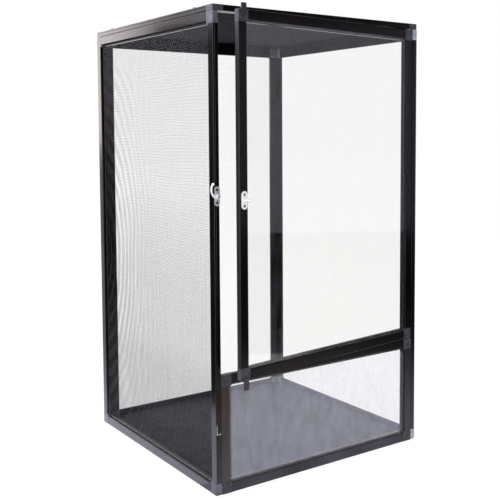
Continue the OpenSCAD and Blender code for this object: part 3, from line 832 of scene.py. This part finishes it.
def ring_waves(nodes, links, place, axes):
    """Tall rings about the back edge, weaker towards the front and the top."""
    squeezed = nodes.new("ShaderNodeMapping")
    squeezed.inputs["Scale"].default_value = (1.0, 1.0, 1.0 / RING_TALL)
    squeezed.inputs["Location"].default_value = (0.0, -RING_MIDDLE[1], -RING_MIDDLE[2] / RING_TALL)
    links.new(place, squeezed.inputs["Vector"])
    rings = waves(nodes, links, squeezed.outputs["Vector"], "RINGS", RING_WAVES)
    rings = between(nodes, links, rings, low=-RING_STRENGTH, high=RING_STRENGTH,
                    start=0.0, end=1.0)
    far = between(nodes, links, axes["Y"], low=0.06, high=1.0, start=0.0, end=0.16)
    low = between(nodes, links, axes["Z"], low=1.0, high=0.30, start=0.38, end=0.60)
    where = combined(nodes, links, "MULTIPLY", far, low)
    return combined(nodes, links, "MULTIPLY", rings, where)


def screen_with_painted_light(name):
    """Wire with painted light by height, palest near the lid, thinned in waves: rings at the back edge,
    level bands all over.
    """
    material, nodes, links, shader = new_finish(name)
    place = nodes.new("ShaderNodeTexCoord").outputs["Object"]
    axes = along_axes(nodes, links)
    tint = profile(nodes, links, axes["Z"], PAINTED_LIGHT_BY_HEIGHT, WIRE_BLUE)
    links.new(tint, shader.inputs["Base Color"])
    coated(nodes, links, shader)
    calm = between(nodes, links, axes["Z"], low=1.0, high=0.15, start=0.69, end=0.74)
    level = combined(nodes, links, "MULTIPLY", level_waves(nodes, links, place), calm)
    rings = combined(nodes, links, "MULTIPLY", ring_waves(nodes, links, place, axes), calm)
    cover = profile(nodes, links, axes["Z"], COVER_BY_HEIGHT)
    cover = combined(nodes, links, "ADD", cover, level)
    cover = combined(nodes, links, "ADD", cover, rings, clamp=True)
    links.new(cover, shader.inputs["Alpha"])
    return material


screen_left = screen_with_painted_light("screen_left")
print("nodes in the left screen's finish:", len(screen_left.node_tree.nodes))

# %% [markdown]
# A screen as fine as a real one would have too many wires, so the pitch is wider, and each screen's
# wire is as thick as it takes to stop the light that its screen should: a thin wire for the right
# side and the back, which stand against the light and are hardly seen, and a stout one for the left
# side and the lid. Each is a hair smaller than the sheet whose place it takes.

# %% The four screens
MARGIN = 0.0002
SIDE_PITCH = 0.0028
LID_PITCH = 0.0018
QUARTER = math.pi / 2


def sheet_size(node):
    """The size of a CAD sheet, less a small margin."""
    low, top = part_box(node)
    return {axis: getattr(top - low, axis) - MARGIN for axis in "xyz"}


side = sheet_size("left_mesh")
back = sheet_size("back_mesh")
lid = sheet_size("lid_mesh")
woven_screen("left_screen", "left_mesh", "cabinet", side["y"], side["z"], thick=0.00031,
             pitch=SIDE_PITCH, turn=(QUARTER, 0.0, -QUARTER), finish=screen_left)
woven_screen("right_screen", "right_mesh", "cabinet", side["y"], side["z"], thick=0.00003,
             pitch=SIDE_PITCH, turn=(QUARTER, 0.0, QUARTER), finish=screen_black)
woven_screen("back_screen", "back_mesh", "cabinet", back["x"], back["z"], thick=0.00010,
             pitch=SIDE_PITCH, turn=(QUARTER, 0.0, math.pi), finish=screen_black)
woven_screen("lid_screen", "lid_mesh", "cabinet", lid["x"], lid["y"], thick=0.00028,
             pitch=LID_PITCH, turn=(0.0, 0.0, 0.0), finish=screen_lid)

# %% [markdown]
# The cage stands on a plain white sweep. More light would make the floor white, but it would wash out
# the cage too. So most of the floor's white is a glow that only some rays see: those from the camera,
# from gloss and through clear parts. The rest is a plain matt white, which keeps the shadow.

# %% White floor
FLOOR_SIZE = 30.0
FLOOR_WHITE = (0.9, 0.9, 0.9)
GLOW_SHARE = 0.78
GLOW_STRENGTH = 1.10


def sees_background(nodes, links):
    """1 for rays from the camera, from gloss and through clear parts, and 0 for the rest."""
    path = nodes.new("ShaderNodeLightPath").outputs
    first = combined(nodes, links, "MAXIMUM", path["Is Camera Ray"], path["Is Glossy Ray"])
    return combined(nodes, links, "MAXIMUM", first, path["Is Transmission Ray"])


deselect_all()
bpy.ops.mesh.primitive_plane_add(size=FLOOR_SIZE, location=(0.0, 0.0, 0.0))
floor = bpy.context.object
floor.name = "floor"
material, nodes, links, shader = new_finish("white_sweep")
nodes.remove(shader)
matt = nodes.new("ShaderNodeBsdfDiffuse")
matt.inputs["Color"].default_value = (*FLOOR_WHITE, 1.0)
glow = nodes.new("ShaderNodeEmission")
glow.inputs["Strength"].default_value = GLOW_STRENGTH
share = changed(nodes, links, "MULTIPLY", sees_background(nodes, links), GLOW_SHARE)
sweep = mixed_shaders(nodes, links, share, matt.outputs["BSDF"], glow.outputs["Emission"])
links.new(sweep, nodes["Material Output"].inputs["Surface"])
floor.data.materials.append(material)
print("floor", FLOOR_SIZE, "m across")

# %% [markdown]
# The world is white for the same rays, and a little dimmer for all others. A dimmer world lights the
# cage at a plain level, at which a colour comes out about as it was written.

# %% White world
WORLD_LIGHT = 0.80

world = bpy.data.worlds.new("studio")
bpy.context.scene.world = world
world.use_nodes = True
nodes = world.node_tree.nodes
links = world.node_tree.links
background = nodes["Background"]
background.inputs["Color"].default_value = (1.0, 1.0, 1.0, 1.0)
strength = sees_background(nodes, links)
strength = between(nodes, links, strength, low=WORLD_LIGHT, high=1.0, start=0.0, end=1.0)
links.new(strength, background.inputs["Strength"])
print("the world lights the cage at", WORLD_LIGHT)

# %% [markdown]
# Three broad lamps are enough. One stands in front on the left, a weaker one fills from the right,
# and a tall one behind on the left, like a window, is the only one that gloss may see: it puts the
# pale shine on the rails that face it. Broad lamps give soft shadows; a sun would draw every wire.

# %% Lamps
CAGE_MIDDLE = (0.0, 0.0, 0.4)
WHITE = (1.0, 1.0, 1.0)
WINDOW_WARMTH = (1.0, 0.92, 0.92)


def soft_lamp(name, place, size, power, in_gloss=False, colour=WHITE):
    """A rectangular area lamp that looks at the middle of the cage."""
    bpy.ops.object.light_add(type="AREA", location=place)
    lamp = bpy.context.object
    lamp.name = name
    lamp.data.shape = "RECTANGLE"
    lamp.data.size, lamp.data.size_y = size
    lamp.data.energy = power
    lamp.data.color = colour
    aim = [end - start for end, start in zip(CAGE_MIDDLE, place)]
    tilt = math.pi / 2 + math.atan2(aim[2], math.hypot(aim[0], aim[1]))
    lamp.rotation_euler = (tilt, 0.0, math.atan2(aim[1], aim[0]) - math.pi / 2)
    lamp.visible_camera = False
    lamp.visible_glossy = in_gloss
    return lamp


soft_lamp("front_lamp", place=(-1.6, -3.0, 2.6), size=(2.0, 2.0), power=30.0)
soft_lamp("fill_lamp", place=(3.2, -1.6, 1.6), size=(1.6, 2.0), power=8.0)
soft_lamp("window_lamp", place=(-0.97, 2.40, 1.30), size=(0.75, 1.6), power=25.0,
          in_gloss=True, colour=WINDOW_WARMTH)

# %% [markdown]
# Black gloss looks like what it mirrors, and in an all-white room it would go grey. So cards stand
# round the cage that only reflections see: no camera, no diffuse light and no shadow. A black card
# makes a face deep black, and a shining one gives it a pale streak. Darkening the paint instead would
# do nothing, because the dye is black already.

# %% Cards that only gloss sees
FELT_BLACK = (0.0, 0.0, 0.0)
FELT_WORN = (0.02, 0.02, 0.02)


def card_finish(name, tint, strength):
    """A matt black card, or a shining one where strength is above 0."""
    material, nodes, links, shader = new_finish(name)
    felt = colours(nodes, links, even_noise(nodes, links, scale=4.0), FELT_BLACK, FELT_WORN)
    links.new(felt, shader.inputs["Base Color"])
    shader.inputs["Specular IOR Level"].default_value = 0.0
    shader.inputs["Emission Color"].default_value = (*tint, 1.0)
    shader.inputs["Emission Strength"].default_value = strength
    return material


def gloss_card(name, place, size, turn, finish, upright=True):
    """A card, standing or lying, turned about Z by turn degrees, that only gloss sees."""
    deselect_all()
    bpy.ops.mesh.primitive_plane_add(size=1.0, location=place)
    card = bpy.context.object
    card.name = name
    card.scale = (*size, 1.0)
    card.rotation_euler = (QUARTER if upright else 0.0, 0.0, math.radians(turn))
    bpy.ops.object.transform_apply(location=True, rotation=True, scale=True)
    card.data.materials.append(finish)
    card.visible_camera = False
    card.visible_diffuse = False
    card.visible_transmission = False
    card.visible_shadow = False


card_black = card_finish("card_black", tint=FELT_BLACK, strength=0.0)
wall_grey = card_finish("wall_grey", tint=(0.93, 0.90, 1.0), strength=0.64)
floor_glow = card_finish("floor_glow", tint=(0.86, 0.87, 1.0), strength=2.4)
lamp_glow = card_finish("lamp_glow", tint=(0.82, 0.86, 1.0), strength=6.0)
print("card finishes:", card_black.name, wall_grey.name, floor_glow.name, lamp_glow.name)

# %% [markdown]
# The fronts of the cage mirror what is to the right in front of it. There, three long cards stand in
# one line like the side of a room: dark near the floor, a grey wall above it, and dark again on top.
# The low dark card stands a little nearer and hides the foot of the wall.

# %% Cards for the fronts
LINE_PLACE = (0.53, -0.84)
LINE_TURN = 45.0
LINE_LONG = 5.0
DARK_TOP = 0.33
WALL_TOP = 0.90
ROOM_TOP = 3.20
WALL_BEHIND = 0.05


def room_card(name, behind, low, high, finish):
    """A card in the line, from one height to another, and some way behind the line."""
    turn = math.radians(LINE_TURN)
    x = LINE_PLACE[0] + math.sin(turn) * behind
    y = LINE_PLACE[1] - math.cos(turn) * behind
    place = (x, y, (low + high) / 2)
    gloss_card(name, place, (LINE_LONG, high - low), LINE_TURN, finish)


room_card("room_dark", 0.0, 0.0, DARK_TOP, card_black)
room_card("room_wall", WALL_BEHIND, 0.0, WALL_TOP, wall_grey)
room_card("room_top", WALL_BEHIND, WALL_TOP, ROOM_TOP, card_black)
print("dark to", DARK_TOP, "m, grey to", WALL_TOP, "m, dark to", ROOM_TOP, "m")

# %% [markdown]
# The cage's left side mirrors what stands beside it. A narrow dark card close by darkens the near
# end of its rails and leaves the far end pale. A shining card on the floor lights the lowest rail
# from below, and two more, like windows, give the left faces of the hinge stile and of the posts a
# thin bright line.

# %% Cards for the left side
gloss_card("left_dark", place=(-0.456, 0.168, 0.415), size=(0.26, 0.83), turn=-143.0,
           finish=card_black)
gloss_card("left_floor", place=(-0.60, 0.25, 0.001), size=(0.70, 1.10), turn=31.0,
           finish=floor_glow, upright=False)
gloss_card("hinge_light", place=(-1.5, 0.83, 1.5), size=(1.2, 1.15), turn=-122.0,
           finish=lamp_glow)
gloss_card("left_strip", place=(-1.9, -1.1, 0.9), size=(2.2, 1.8), turn=-60.0,
           finish=lamp_glow)
bpy.context.scene.view_settings.view_transform = "Standard"
